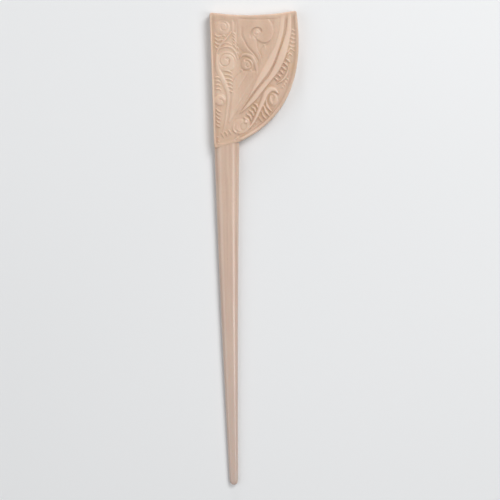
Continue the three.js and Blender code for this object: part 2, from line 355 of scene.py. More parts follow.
class CarvedField:
    """Heights of the carved face over a regular net of points, measured from the rim's level."""

    def __init__(self, across: np.ndarray, up: np.ndarray, level: float) -> None:
        """Starts with a flat field.

        Args:
            across: The net's columns, in millimetres.
            up: The net's rows, in millimetres.
            level: The field's height, below zero.
        """
        self.across = across
        self.up = up
        self.x, self.y = np.meshgrid(across, up)
        self.height = np.full(self.x.shape, level)

    def window(self, line: np.ndarray, reach: float) -> tuple[slice, slice]:
        """The part of the net that lies within reach of a line.

        Args:
            line: The line's points.
            reach: How far from the line the part extends.

        Returns:
            The rows and the columns of that part.
        """
        low = line.min(axis=0) - reach
        high = line.max(axis=0) + reach
        columns = slice(*np.searchsorted(self.across, [low[0], high[0]]))
        rows = slice(*np.searchsorted(self.up, [low[1], high[1]]))
        return rows, columns

    def blurred(self, heights: np.ndarray, reach: float) -> np.ndarray:
        """Softens heights over the net.

        Args:
            heights: One height for each of the net's points.
            reach: The softening's standard deviation, in millimetres.

        Returns:
            The softened heights.
        """
        spacing = self.across[1] - self.across[0]
        half = max(int(math.ceil(3 * reach / spacing)), 1)
        weights = np.exp(-0.5 * (np.arange(-half, half + 1) * spacing / reach) ** 2)
        weights /= weights.sum()
        padded = np.pad(heights, half, mode="edge")
        rows = sum(w * padded[i : i + heights.shape[0]] for i, w in enumerate(weights))
        return sum(w * rows[:, i : i + heights.shape[1]] for i, w in enumerate(weights))


def tapered(widths: tuple[float, ...], share: np.ndarray) -> np.ndarray:
    """Widths along a line, from a few values evenly spaced from its start to its end."""
    return np.interp(share, np.linspace(0, 1, len(widths)), widths)


@dataclass(frozen=True)
class Ridge:
    """A rounded ridge that stands on the field."""

    line: Line
    widths: tuple[float, ...]
    height: float
    crown: float = 0.6

    def carve(self, work: CarvedField) -> None:
        """Raises the ridge."""
        line = drawn(self.line)
        part = work.window(line, max(self.widths))
        x, y = work.x[part], work.y[part]
        distance, share, _, _ = nearest_on(line, x, y)
        half = np.maximum(tapered(self.widths, share) / 2, 1e-3)
        off = held(np.abs(distance) / half)
        level = FIELD_LEVEL + self.height * (1 - off**2) ** self.crown
        level = np.where(off < 1, level, -np.inf)
        work.height[part] = np.maximum(work.height[part], level)


@dataclass(frozen=True)
class Cut:
    """A groove, with a flank of its own on each side of its line."""

    line: Line
    depth: float
    left: float
    right: float
    fade: float = 0.12

    def carve(self, work: CarvedField) -> None:
        """Cuts the groove, running out at both ends."""
        line = drawn(self.line)
        part = work.window(line, max(self.left, self.right))
        x, y = work.x[part], work.y[part]
        distance, share, _, _ = nearest_on(line, x, y)
        flank = np.where(distance > 0, self.left, self.right)
        off = held(np.abs(distance) / flank)
        run_out = held(np.minimum(share, 1 - share) / self.fade) if self.fade else 1.0
        work.height[part] -= self.depth * (1 - off) ** 2 * (1 + 2 * off) * np.sqrt(run_out)


@dataclass(frozen=True)
class Land:
    """A piece of the face that is left standing inside a closed line."""

    edge: np.ndarray
    height: float
    shoulder: float
    crown: float = 0.0
    breadth: float = 2.0

    def carve(self, work: CarvedField) -> None:
        """Raises the land, with a rounded shoulder all round and a crown in its middle."""
        edge = np.vstack([self.edge, self.edge[:1]])
        part = work.window(edge, 0.2)
        x, y = work.x[part], work.y[part]
        distance, _, _, _ = nearest_on(edge, x, y)
        inward = np.where(inside_of(edge, x, y), np.abs(distance), 0)
        rise = held(inward / self.shoulder)
        middle = held(inward / self.breadth)
        level = FIELD_LEVEL + self.height * np.sqrt(1 - (1 - rise) ** 2)
        level = level + self.crown * (1 - (1 - middle) ** 2)
        level = np.where(inward > 0, level, -np.inf)
        work.height[part] = np.maximum(work.height[part], level)


@dataclass(frozen=True)
class Boss:
    """A round raised eye or disc."""

    centre: Point
    radius: float
    height: float
    crown: float = 0.5

    def carve(self, work: CarvedField) -> None:
        """Raises the boss."""
        part = work.window(np.array([self.centre]), self.radius)
        x, y = work.x[part], work.y[part]
        off = held(np.hypot(x - self.centre[0], y - self.centre[1]) / self.radius)
        level = np.where(off < 1, FIELD_LEVEL + self.height * (1 - off**4) ** self.crown, -np.inf)
        work.height[part] = np.maximum(work.height[part], level)


@dataclass(frozen=True)
class Row:
    """A row of short bowed ribs along a guide line."""

    guide: list[Point]
    count: int
    length: float
    slant: float
    width: float
    height: float
    bow: float = 0.15
    end_length: float = 0.0

    def carve(self, work: CarvedField) -> None:
        """Raises the ribs, evenly spaced and each a little bowed."""
        line = smooth_through(self.guide)
        steps = np.concatenate([[0], np.cumsum(np.hypot(*np.diff(line, axis=0).T))])
        places = np.linspace(0, steps[-1], self.count)
        along = np.array([math.cos(math.radians(self.slant)), math.sin(math.radians(self.slant))])
        across = np.array([-along[1], along[0]])
        for i, place in enumerate(places):
            share = i / max(self.count - 1, 1)
            length = self.length
            if self.end_length:
                length += (self.end_length - self.length) * share
            centre = np.array([np.interp(place, steps, line[:, 0]), np.interp(place, steps, line[:, 1])])
            rib = [
                tuple(centre - along * length / 2),
                tuple(centre + across * self.bow * length),
                tuple(centre + along * length / 2),
            ]
            Ridge(rib, (self.width / 2, self.width, self.width / 2), self.height).carve(work)


Stroke = Ridge | Cut | Land | Boss | Row


def band(left: list[Point], right: list[Point]) -> np.ndarray:
    """The closed edge of a long band between its left and its right side, both listed downwards."""
    return np.vstack([smooth_through(left), smooth_through(right)[::-1]])


def sweeping_bands() -> list[Stroke]:
    """Two broad bands that sweep from the top edge down to the foot of the curved side."""
    first_left = [(21.3, 51.0), (20.7, 44.7), (19.0, 39.0), (16.6, 34.5), (14.2, 30.3), (11.8, 26.0),
                  (9.7, 21.6), (7.3, 17.2), (4.0, 12.4)]
    first_right = [(23.3, 51.0), (22.9, 45.0), (21.6, 39.9), (20.1, 35.4), (18.5, 31.6), (16.1, 27.7),
                   (13.3, 24.2), (10.0, 20.0), (7.8, 17.0), (4.3, 12.4)]
    second_left = [(24.0, 51.0), (23.5, 44.8), (22.0, 39.6), (20.2, 35.0), (18.7, 31.2), (16.5, 27.2),
                   (14.0, 24.3), (10.9, 20.6), (8.9, 18.0), (6.9, 15.4), (5.0, 13.0)]
    second_right = [(25.8, 51.0), (25.6, 44.2), (24.6, 39.2), (23.6, 35.5), (22.1, 31.7), (20.0, 28.1),
                    (16.9, 24.4), (13.7, 20.6), (11.6, 17.9), (8.4, 15.1), (5.2, 12.8)]
    gap = [(23.65, 50.4), (23.1, 44.8), (21.6, 39.7), (19.8, 35.2), (18.4, 31.4), (16.3, 27.4),
           (13.6, 24.2), (10.5, 20.4), (6.2, 14.8)]
    apron = [(18.9, 51.0), (18.3, 45.0), (16.6, 39.8), (14.3, 35.6), (12.2, 31.6), (10.2, 27.6),
             (8.2, 23.4), (6.2, 19.4), (3.8, 14.6)]
    return [
        Land(band(apron, first_right), 0.0, 0.6, 0.36, 2.6),
        Land(band(first_left, first_right), 0.42, 0.45, 0.12, 1.0),
        Land(band(second_left, second_right), 0.42, 0.45, 0.12, 1.0),
        Cut(gap, 0.05, 0.35, 0.3),
        Cut([(26.6, 50.4), (26.4, 44.2), (25.3, 39.2), (24.0, 35.5)], 0.12, 0.3, 0.6, 0.2),
        Cut([(19.2, 26.3), (17.1, 23.8), (14.2, 20.5), (12.3, 18.0), (9.6, 15.2)], 0.14, 0.3, 0.4),
    ]


def plain_leaf() -> list[Stroke]:
    """The smooth leaf in the middle, with faint lines that run with the bands."""
    left = [(6.6, 29.2), (4.6, 27.6), (3.0, 25.4), (2.5, 21.5), (2.0, 17.5), (1.5, 13.5), (0.7, 9.5)]
    right = [(13.2, 29.2), (11.6, 26.0), (9.4, 21.9), (7.1, 18.2), (4.4, 14.2), (2.4, 11.4), (1.4, 9.5)]
    return [
        Land(band(left, right), 0.32, 0.9, 0.06, 3.0),
        Cut([(8.8, 28.9), (7.5, 26.7), (5.7, 24.0), (4.3, 21.8)], 0.12, 0.8, 0.5, 0.3),
        Cut([(11.5, 27.0), (9.3, 23.6), (6.9, 19.8), (4.6, 16.4)], 0.06, 0.6, 0.5, 0.3),
        Cut([(9.2, 18.4), (7.2, 16.0), (5.3, 13.8), (3.2, 11.4)], 0.1, 0.6, 0.5, 0.3),
        Cut([(7.0, 20.5), (5.7, 18.0), (3.4, 14.4), (2.0, 11.6)], 0.06, 0.6, 0.5, 0.3),
    ]


def great_scroll() -> list[Stroke]:
    """The great scroll: a stem that swells upwards, turns over and ends in a fat lobe with an eye."""
    body = [(4.7, 50.6), (4.8, 47.0), (4.7, 43.6), (5.3, 40.6), (6.7, 38.2), (8.6, 36.4), (10.4, 35.2),
            (11.6, 33.6), (12.6, 31.4), (13.1, 29.4), (13.6, 32.2), (13.1, 35.6), (12.4, 38.6),
            (12.5, 40.6), (13.9, 39.8), (15.7, 39.6), (17.3, 40.5), (18.4, 42.2), (18.8, 44.4),
            (18.3, 46.6), (17.2, 48.6), (16.6, 50.6)]
    beside = [(17.2, 50.6), (20.9, 50.6), (20.2, 45.0), (18.4, 39.2), (16.0, 34.6), (14.2, 31.2),
              (14.1, 33.4), (13.7, 36.4), (14.9, 38.4), (17.5, 39.0), (19.3, 42.0), (19.6, 45.6),
              (18.6, 48.4)]
    stem_cut = [(6.6, 45.8), (6.7, 42.6), (7.7, 40.2), (8.9, 38.0), (10.4, 36.2), (11.8, 34.3),
                (12.7, 32.3), (13.0, 29.6)]
    stem_side = [(3.7, 50.6), (4.0, 46.0), (3.7, 43.0), (3.9, 40.2), (5.6, 37.6), (8.2, 35.6), (10.6, 34.2),
                 (12.3, 31.4), (13.0, 29.4), (12.4, 34.0), (10.0, 39.0), (8.6, 44.0), (8.0, 50.6)]
    return [
        Land(closed(stem_side), 0.0, 0.8, 0.36, 2.2),
        Land(closed(beside), 0.2, 0.8, 0.06, 2.0),
        Land(closed(body), 0.36, 0.6, 0.05, 3.0),
        Cut([(9.9, 41.6), (10.0, 43.3), (10.7, 44.7), (12.1, 45.4), (13.5, 45.1), (14.4, 43.9)], 0.4, 0.4,
            0.9, 0.3),
        Cut([(12.9, 44.9), (13.7, 44.4), (14.1, 43.4)], 0.36, 0.6, 0.6, 0.4),
        Cut(coil((12.0, 43.2), (1.3, 1.3), 0, 360), 0.12, 0.7, 0.6, 0.0),
        Cut([(11.2, 43.3), (12.0, 42.8), (12.9, 43.2)], 0.18, 0.35, 0.35, 0.3),
        Cut([(10.9, 41.6), (11.8, 41.5), (12.2, 40.9)], 0.12, 0.3, 0.4, 0.3),
        Cut([(11.9, 41.9), (12.4, 40.7), (13.9, 39.5), (15.7, 39.3), (17.3, 40.2), (18.5, 42.0)], 0.34,
            0.15, 0.7, 0.2),
        Cut(stem_cut, 0.36, 0.85, 0.35, 0.16),
        Ridge([(12.7, 36.4), (13.5, 34.5), (13.9, 31.8)], (0.3, 0.8, 0.3), 0.5),
        Ridge([(15.0, 38.7), (15.7, 36.4)], (0.9, 0.5, 0.2), 0.34),
        Ridge([(17.0, 38.4), (16.1, 36.6)], (0.6, 0.4, 0.2), 0.3),
        Cut([(20.7, 50.2), (20.4, 46.0), (19.8, 42.5)], 0.07, 0.35, 0.35),
        Cut([(5.0, 48.8), (4.9, 42.0), (4.8, 35.5), (4.6, 28.5)], 0.16, 0.35, 0.3, 0.2),
        Cut([(5.2, 49.2), (9.0, 48.8), (12.9, 48.6), (16.6, 48.6), (20.2, 48.8)], 0.12, 0.3, 0.35),
    ]


def middle_spiral() -> list[Stroke]:
    """The small spiral under the great scroll, with the leaf that hangs from it."""
    collar = [(5.7, 33.9), (6.5, 35.0), (8.2, 35.3), (10.2, 34.3), (11.4, 32.2), (11.9, 30.0), (12.0, 27.6)]
    return [
        Boss((8.4, 31.5), 2.4, 0.4),
        Cut([(6.9, 33.7), (6.1, 32.4), (5.9, 30.9), (6.7, 29.7), (8.4, 29.4), (9.8, 30.2)], 0.2, 0.35,
            0.35),
        Cut([(7.3, 33.1), (8.8, 32.8), (9.7, 31.7), (9.9, 30.3), (9.5, 29.0)], 0.34, 0.45, 0.4),
        Cut([(11.9, 34.2), (12.5, 32.4), (12.8, 30.6), (12.7, 28.4)], 0.2, 0.3, 0.5),
        Cut(coil((8.5, 31.5), (1.3, 0.3), 60, -330), 0.2, 0.35, 0.35),
        Ridge(collar, (0.4, 1.1, 1.5, 1.6, 1.3, 0.5), 0.42),
        Boss((9.7, 29.2), 0.6, 0.42),
        Boss((6.2, 29.4), 0.5, 0.2),
    ]


def straight_side_scrolls() -> list[Stroke]:
    """The column of spirals and ribs down the straight side, tied by one long stem."""
    stem = [(-3.0, 35.4), (-3.1, 32.4), (-2.5, 29.4), (-1.3, 26.8), (-0.1, 24.2), (0.8, 21.4), (1.0, 18.6),
            (0.7, 15.8), (0.3, 13.2), (-0.1, 10.6), (-0.7, 7.8), (-1.6, 4.8)]
    outside = [(-3.4, 36.2), (-3.8, 33.8), (-3.9, 30.7), (-3.2, 27.8), (-1.9, 25.2), (-0.7, 22.8),
               (0.1, 20.6), (0.2, 18.0), (-0.2, 15.4), (-0.6, 13.0), (-1.0, 10.4), (-1.7, 7.4), (-2.6, 4.4)]
    return [
        Boss((-0.7, 45.9), 2.8, 0.24),
        Cut(coil((-0.5, 45.9), (2.1, 0.6), 130, -330), 0.16, 0.4, 0.4),
        Ridge([(2.9, 49.6), (3.3, 46.2), (3.2, 43.4)], (0.6, 1.4, 0.6), 0.3),
        Row([(-2.5, 42.9), (-2.6, 38.4)], 4, 2.4, -18, 0.8, 0.38, -0.2),
        Row([(-0.3, 42.6), (-0.8, 40.9)], 2, 1.0, -10, 0.6, 0.36),
        Ridge([(2.6, 44.0), (1.2, 42.2), (-0.9, 40.0), (-2.2, 38.2), (-3.2, 36.0)], (0.4, 0.9, 1.0, 0.9,
              0.5), 0.42),
        Row([(3.6, 43.4), (3.8, 38.6)], 5, 1.9, -54, 0.7, 0.34, 0.1),
        Row([(4.7, 41.6), (4.9, 35.9)], 4, 1.2, -62, 0.55, 0.34, 0.1),
        Ridge([(-0.9, 39.6), (0.8, 40.0), (2.6, 39.2)], (0.3, 0.6, 0.3), 0.24),
        Ridge([(-1.2, 38.0), (0.6, 38.5), (2.6, 38.0), (4.2, 36.2), (4.9, 33.8)], (0.3, 0.8, 0.9, 0.8, 0.4),
              0.3),
        Boss((0.4, 32.9), 3.9, 0.32),
        Cut(coil((0.4, 32.9), (3.7, 0.7), -35, 470), 0.24, 0.4, 0.35),
        Cut(coil((0.9, 33.3), (0.9, 0.8), 150, -210), 0.26, 0.4, 0.4),
        Ridge(stem, (1.0, 1.5, 1.9, 2.0, 1.6, 1.2, 1.1, 1.0, 0.9, 0.5), 0.34),
        Cut(outside, 0.26, 0.3, 0.45, 0.08),
        Row([(1.0, 29.0), (1.7, 21.4)], 6, 3.0, -18, 0.8, 0.36, 0.1, 2.2),
        Row([(-2.9, 26.7), (-2.7, 22.3)], 4, 1.9, -14, 0.75, 0.38),
        Boss((-2.2, 18.4), 2.3, 0.36),
        Cut(coil((-2.2, 18.2), (2.4, 1.9), 160, -150), 0.18, 0.35, 0.45, 0.2),
        Cut(coil((-2.3, 17.0), (1.6, 1.2), 110, -300), 0.24, 0.4, 0.3, 0.1),
        Boss((-2.3, 17.1), 1.0, 0.42),
        Row([(-2.9, 14.4), (-3.1, 8.6)], 5, 2.2, -42, 0.8, 0.4, -0.1, 1.6),
    ]


def curved_side_carving() -> list[Stroke]:
    """The ribs, beads and hooked scroll along the curved side."""
    hook = [(19.9, 20.4), (18.8, 21.7), (17.1, 21.9), (15.6, 20.6), (14.7, 18.7), (13.7, 16.6),
            (12.7, 14.4), (11.5, 11.7), (10.0, 9.1), (8.4, 7.0)]
    curl = [(18.1, 17.4), (18.2, 19.2), (17.1, 20.0), (16.1, 18.7), (16.0, 17.0), (16.9, 15.6),
            (18.3, 14.8)]
    return [
        Row([(26.7, 44.4), (25.7, 38.4)], 5, 2.3, -12, 0.85, 0.24, -0.16),
        Ridge([(23.8, 35.8), (24.9, 37.2), (26.5, 36.2)], (0.3, 0.7, 0.3), 0.34),
        Ridge([(23.6, 34.2), (24.5, 35.4), (25.6, 34.6)], (0.3, 0.8, 0.3), 0.4),
        Row([(23.9, 32.7), (22.8, 30.9), (21.4, 28.2), (19.4, 25.7)], 6, 1.9, -46, 1.15, 0.62, 0.1, 1.3),
        Ridge([(24.0, 30.2), (23.6, 28.2), (22.7, 26.5), (21.5, 25.2), (19.8, 24.0)], (0.3, 0.9, 1.1, 1.0,
              0.4), 0.52),
        Row([(23.6, 25.6), (21.6, 22.8)], 4, 1.3, -50, 0.6, 0.3, 0.1),
        Row([(22.8, 24.4), (21.4, 22.6)], 3, 1.0, 40, 0.55, 0.3, 0.1),
        Land(coil((17.3, 18.2), (2.4, 2.8), 0, 345), 0.2, 0.8, 0.0),
        Ridge(hook, (0.8, 2.0, 2.7, 2.6, 2.2, 1.9, 1.6, 1.1, 0.4), 0.6),
        Ridge([(15.3, 18.2), (15.7, 15.7), (17.2, 13.6)], (0.6, 1.4, 0.6), 0.54),
        Ridge([(14.2, 16.1), (15.2, 13.6), (16.4, 11.9)], (0.6, 1.4, 0.6), 0.56),
        Ridge([(13.4, 13.8), (14.2, 11.9), (15.2, 10.7)], (0.4, 1.1, 0.4), 0.52),
        Ridge([(12.4, 11.7), (13.0, 10.6), (13.7, 9.8)], (0.3, 0.8, 0.3), 0.44),
        Ridge([(17.0, 19.3), (17.1, 17.9), (17.6, 16.4)], (0.9, 1.8, 0.9), 0.58),
        Cut(curl, 0.24, 0.4, 0.35, 0.1),
        Cut([(14.5, 15.8), (15.2, 17.9), (16.1, 19.8), (17.4, 20.8), (18.9, 20.2)], 0.12, 0.3, 0.4),
        Row([(11.4, 15.9), (9.5, 12.9), (7.8, 10.2)], 5, 1.9, -53, 1.2, 0.6, 0.2, 3.0),
        Row([(11.0, 9.6), (9.3, 7.8)], 3, 1.0, -40, 0.5, 0.24, 0.1),
    ]


def foot_carving() -> list[Stroke]:
    """The spiral and the ribs at the head's foot."""
    turn = [(7.4, 10.7), (8.3, 9.1), (8.0, 7.2), (6.4, 5.9), (4.8, 5.4)]
    return [
        Boss((5.2, 8.0), 3.1, 0.32),
        Ridge(turn, (1.2, 1.6, 1.3, 0.7), 0.46),
        Boss((7.4, 9.8), 0.7, 0.62),
        Ridge([(3.0, 8.9), (2.6, 7.0), (3.6, 5.6)], (0.4, 0.9, 0.4), 0.42),
        Ridge([(4.1, 8.6), (4.2, 7.0), (5.3, 6.2)], (0.4, 0.9, 0.4), 0.42),
        Cut([(3.5, 9.0), (3.3, 7.2), (4.4, 5.9)], 0.14, 0.3, 0.3, 0.2),
        Cut([(6.6, 9.6), (5.5, 8.6), (5.6, 7.2), (6.4, 6.8)], 0.2, 0.5, 0.5, 0.3),
        Row([(-1.5, 4.9), (1.2, 6.0)], 3, 1.9, -62, 0.8, 0.38, 0.1),
        Row([(-3.4, 4.2), (-3.1, 2.6)], 2, 0.8, -40, 0.5, 0.2),
        Ridge([(-3.3, 1.6), (-1.8, 1.4), (0.5, 1.7), (2.8, 2.8), (4.3, 3.9)], (0.3, 1.0, 1.0, 0.4), 0.56),
        Cut([(0.4, 0.9), (2.2, 1.4), (4.2, 2.6)], 0.14, 0.5, 0.4, 0.3),
    ]


# ---- Making meshes with Blender's own tools ----


def deselect_all() -> None:
    """Leaves edit mode and clears the selection."""
    if bpy.context.object and bpy.context.object.mode != "OBJECT":
        bpy.ops.object.mode_set(mode="OBJECT")
    bpy.ops.object.select_all(action="DESELECT")


def take_up(piece: bpy.types.Object) -> None:
    """Makes a piece the only selected one and the active one."""
    deselect_all()
    piece.select_set(True)
    bpy.context.view_layer.objects.active = piece


def selected(mesh: bmesh.types.BMesh) -> list[bmesh.types.BMVert]:
    """The vertices that are selected in an edit mesh."""
    return [vertex for vertex in mesh.verts if vertex.select]


def finish_mesh(piece: bpy.types.Object, smooth_angle: float) -> None:
    """Turns a piece's faces outwards and shades it.

    Args:
        piece: The piece, in edit mode or not.
        smooth_angle: Edges sharper than this many degrees stay crisp.
    """
    take_up(piece)
    bpy.ops.object.mode_set(mode="EDIT")
    bpy.ops.mesh.select_all(action="SELECT")
    bpy.ops.mesh.normals_make_consistent(inside=False)
    bpy.ops.object.mode_set(mode="OBJECT")
    bpy.ops.object.shade_smooth_by_angle(angle=math.radians(smooth_angle))


# ---- Materials ----


class Shade:
    """One value in a material, which can be reckoned with."""

    def __init__(self, tree: bpy.types.NodeTree, socket: bpy.types.NodeSocket) -> None:
        """Wraps a socket of a node tree."""
        self.tree = tree
        self.socket = socket

    def _math(self, operation: str, first: "Shade | float", second: "Shade | float") -> "Shade":
        """Adds one Math node.

        Args:
            operation: The node's operation.
            first: Its first value.
            second: Its second value.

        Returns:
            The result.
        """
        node = self.tree.nodes.new("ShaderNodeMath")
        node.operation = operation
        for socket, value in zip(node.inputs, (first, second)):
            if isinstance(value, Shade):
                self.tree.links.new(value.socket, socket)
            else:
                socket.default_value = value
        return Shade(self.tree, node.outputs[0])

    def __add__(self, other: "Shade | float") -> "Shade":
        """The sum."""
        return self._math("ADD", self, other)

    __radd__ = __add__

    def __sub__(self, other: "Shade | float") -> "Shade":
        """The difference."""
        return self._math("SUBTRACT", self, other)

    def __rsub__(self, other: "Shade | float") -> "Shade":
        """The difference, the other way round."""
        return self._math("SUBTRACT", other, self)

    def __mul__(self, other: "Shade | float") -> "Shade":
        """The product."""
        return self._math("MULTIPLY", self, other)

    __rmul__ = __mul__

    def between(self, low: float, high: float) -> "Shade":
        """This value, spread from low to high onto 0 to 1 and held there."""
        spread = (self - low) * (1 / (high - low))
        return spread._math("MINIMUM", spread._math("MAXIMUM", spread, 0.0), 1.0)


class Recipe:
    """A material under construction."""

    def __init__(self, name: str) -> None:
        """Starts a material with nothing in it but its output."""
        self.material = bpy.data.materials.new(name)
        self.material.use_nodes = True
        self.tree = self.material.node_tree
        self.tree.nodes.clear()
        self.output = self.tree.nodes.new("ShaderNodeOutputMaterial")

    def node(self, kind: str, settings: dict | None = None, **sockets: object) -> bpy.types.Node:
        """Adds a node.

        Args:
            kind: The node's type.
            settings: Its own settings, which are set first.
            **sockets: Values or links of its sockets, by name with _ for a space, or as in3 by number.

        Returns:
            The node.
        """
        node = self.tree.nodes.new(kind)
        for key, value in (settings or {}).items():
            setattr(node, key, value)
        for key, value in sockets.items():
            by_number = key.startswith("in") and key[2:].isdigit()
            socket = node.inputs[int(key[2:])] if by_number else node.inputs[key.replace("_", " ")]
            if isinstance(value, Shade):
                self.tree.links.new(value.socket, socket)
            else:
                socket.default_value = value
        return node

    def out(self, node: bpy.types.Node, name: str | int = 0) -> Shade:
        """One of a node's outputs."""
        return Shade(self.tree, node.outputs[name])

    def stretched(self, stretch: Colour) -> Shade:
        """The piece's own coordinates, stretched along each axis."""
        place = self.out(self.node("ShaderNodeTexCoord"), "Object")
        return self.out(self.node("ShaderNodeMapping", None, Vector=place, Scale=stretch))

    def noise(self, stretch: Colour, scale: float, detail: float = 3.0, rough: float = 0.55) -> Shade:
        """Soft random values, from about 0.3 to 0.7.

        Args:
            stretch: How much the coordinates are stretched along each axis.
            scale: Features for each metre.
            detail: Layers of finer features.
            rough: Weight of the finer layers.

        Returns:
            The values.
        """
        place = self.stretched(stretch)
        sockets = {"Vector": place, "Scale": scale, "Detail": detail, "Roughness": rough}
        return self.out(self.node("ShaderNodeTexNoise", None, **sockets), "Fac")

    def mix(self, amount: Shade, first: "Shade | Colour", second: "Shade | Colour") -> Shade:
        """A colour between two others.

        Args:
            amount: 0 for the first and 1 for the second.
            first: The first colour.
            second: The second colour.

        Returns:
            The mixed colour.
        """
        values = {
            key: value if isinstance(value, Shade) else (*value, 1.0)
            for key, value in (("in6", first), ("in7", second))
        }
        node = self.node("ShaderNodeMix", {"data_type": "RGBA"}, in0=amount, **values)
        return self.out(node, 2)

    def bump(self, height: Shade, strength: float, distance: float) -> Shade:
        """A normal that follows a height."""
        node = self.node("ShaderNodeBump", None, Height=height, Strength=strength, Distance=distance)
        return self.out(node)

    def finish(self, **sockets: object) -> bpy.types.Material:
        """Adds the surface shader and joins it to the output."""
        shader = self.node("ShaderNodeBsdfPrincipled", None, **sockets)
        self.tree.links.new(shader.outputs[0], self.output.inputs["Surface"])
        return self.material


GREYED_BONE: Colour = (0.56, 0.44, 0.385)
# Paler bone for the painted highlight on the raised faces.
PAINTED_HIGHLIGHT_BONE: Colour = (0.80, 0.60, 0.47)
WAXED_BONE: Colour = (0.55, 0.37, 0.2)
# The hollow attribute measures how hollow the face is, with painted shade added along the curved side's
# margin and beside the straight side.
HOLLOW_SHADE_ATTRIBUTE = "hollow"
# This attribute marks the raised faces that get a painted highlight.
RAISED_HIGHLIGHT_ATTRIBUTE = "raised_highlight"


class BoneCut(Enum):
    """How the bone's grain meets a piece's face."""

    ALONG = "along"
    ACROSS = "across"


@dataclass(frozen=True)
class BoneFinish:
    """Polished bone: a warm tan with lengthwise grain and fine pores; on a carved face, grime and painted
    shade darken the hollows, and painted highlights lighten the crests and raised faces.
    """

    name: str
    tan: Colour
    pale: Colour
    deep: Colour
    cut: BoneCut = BoneCut.ALONG
    carved: bool = False
    greying: float = 0.0
    streaks: float = 0.0
    grain: float = 0.28
    roughness: float = 0.36
    coat: float = 0.25
    stretch: float = 0.06
    speckle_tone: float = 0.1
    pore_tone: float = 0.3
    # How far grime and painted shade darken the hollows.
    hollow_grime_and_shade: float = 0.5
    # How far a painted highlight and wear lighten the crests.
    crest_highlight_and_wear: float = 0.15
    # How far the painted highlight lightens the raised faces.
    raised_highlight_tone: float = 0.55
    wax_tone: float = 0.4

    def material(self) -> bpy.types.Material:
        """Builds the finish."""
        recipe = Recipe(self.name)
        run = (1.0, self.stretch, 1.0) if self.cut is BoneCut.ALONG else (1.0, 1.0, self.stretch)
        clouds = recipe.noise((1.0, 0.45, 1.0), scale=90.0, detail=2.0)
        grain = recipe.noise(run, scale=1500.0, detail=4.0, rough=0.6)
        pores = recipe.noise(run, scale=5200.0, detail=2.0, rough=0.5).between(0.66, 0.74)
        speckle = recipe.noise((1.0, 1.0, 1.0), scale=900.0, detail=3.0)
        colour = recipe.mix(clouds.between(0.36, 0.66), self.tan, self.pale)
        colour = recipe.mix(grain.between(0.42, 0.72) * self.grain, colour, self.deep)
        colour = recipe.mix(speckle.between(0.5, 0.72) * self.speckle_tone, colour, self.deep)
        streak = recipe.noise((run[0], run[1] / 4, run[2]), scale=900.0, detail=2.0)
        colour = recipe.mix(streak.between(0.4, 0.62) * self.streaks, colour, self.pale)
        colour = recipe.mix((1 - streak).between(0.45, 0.7) * (self.streaks * 0.3), colour, self.deep)
        colour = recipe.mix(pores * self.pore_tone, colour, self.deep)
        relief = grain * 0.5 + speckle * 0.35 - pores * 0.8
        # The grain and the speckle add 0.11 on average, which is taken off first.
        polish = grain * 0.12 + speckle * 0.1 + (self.roughness - 0.11)
        if self.greying:
            length = recipe.node("ShaderNodeSeparateXYZ", None, Vector=recipe.stretched((1.0, 1.0, 1.0)))
            low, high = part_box("tapered_blade")
            to_tip = 1 - recipe.out(length, "Y").between(low.y, high.y)
            colour = recipe.mix(to_tip * self.greying, colour, GREYED_BONE)
        if self.carved:
            hollow = recipe.node("ShaderNodeAttribute", {"attribute_name": HOLLOW_SHADE_ATTRIBUTE})
            depth = recipe.out(hollow, "Fac")
            # Grime and painted shade: the hollows are darkened, and so are the margins whose painted shade
            # rides in the same attribute.
            colour = recipe.mix(depth.between(0.02, 0.9) * self.hollow_grime_and_shade, colour, self.deep)
            # Painted highlight and wear: the crests are lightened.
            colour = recipe.mix((0 - depth).between(0.0, 0.8) * self.crest_highlight_and_wear, colour, self.pale)
            # Painted highlight: the raised faces are lightened.
            standing = recipe.node("ShaderNodeAttribute", {"attribute_name": RAISED_HIGHLIGHT_ATTRIBUTE})
            raised_highlight = recipe.out(standing, "Fac")
            colour = recipe.mix(raised_highlight * self.raised_highlight_tone, colour, PAINTED_HIGHLIGHT_BONE)
            patches = recipe.noise((1.0, 0.6, 1.0), scale=150.0, detail=1.0).between(0.5, 0.62)
            waxed = patches * depth.between(0.0, 0.5)
            colour = recipe.mix(waxed * self.wax_tone, colour, WAXED_BONE)
            polish = polish + depth.between(0.0, 0.8) * 0.14 - raised_highlight * 0.05
        return recipe.finish(
            Base_Color=colour,
            Roughness=polish,
            Normal=recipe.bump(relief, strength=0.25, distance=0.00004),
            Coat_Weight=self.coat,
            Coat_Roughness=0.25,
            Subsurface_Weight=0.12,
            Subsurface_Scale=0.0006,
            IOR=1.5,
        )

    def dress(self, piece: bpy.types.Object, slot: str) -> None:
        """Gives the finish to a piece."""
        piece.data.materials.clear()
        piece.data.materials.append(self.material())


@dataclass(frozen=True)
class GlueFinish:
    """Cured amber glue."""

    amber: Colour = (0.42, 0.22, 0.08)
    dark: Colour = (0.25, 0.11, 0.03)

    def dress(self, piece: bpy.types.Object) -> None:
        """Gives the finish to the CAD's glue pad."""
        recipe = Recipe("cured_glue")
        clouds = recipe.noise((1.0, 1.0, 1.0), scale=700.0, detail=3.0)
        colour = recipe.mix(clouds.between(0.35, 0.7), self.amber, self.dark)
        material = recipe.finish(
            Base_Color=colour,
            Roughness=clouds * 0.2 + 0.15,
            Normal=recipe.bump(clouds, strength=0.2, distance=0.0001),
        )
        piece.data.materials.clear()
        piece.data.materials.append(material)


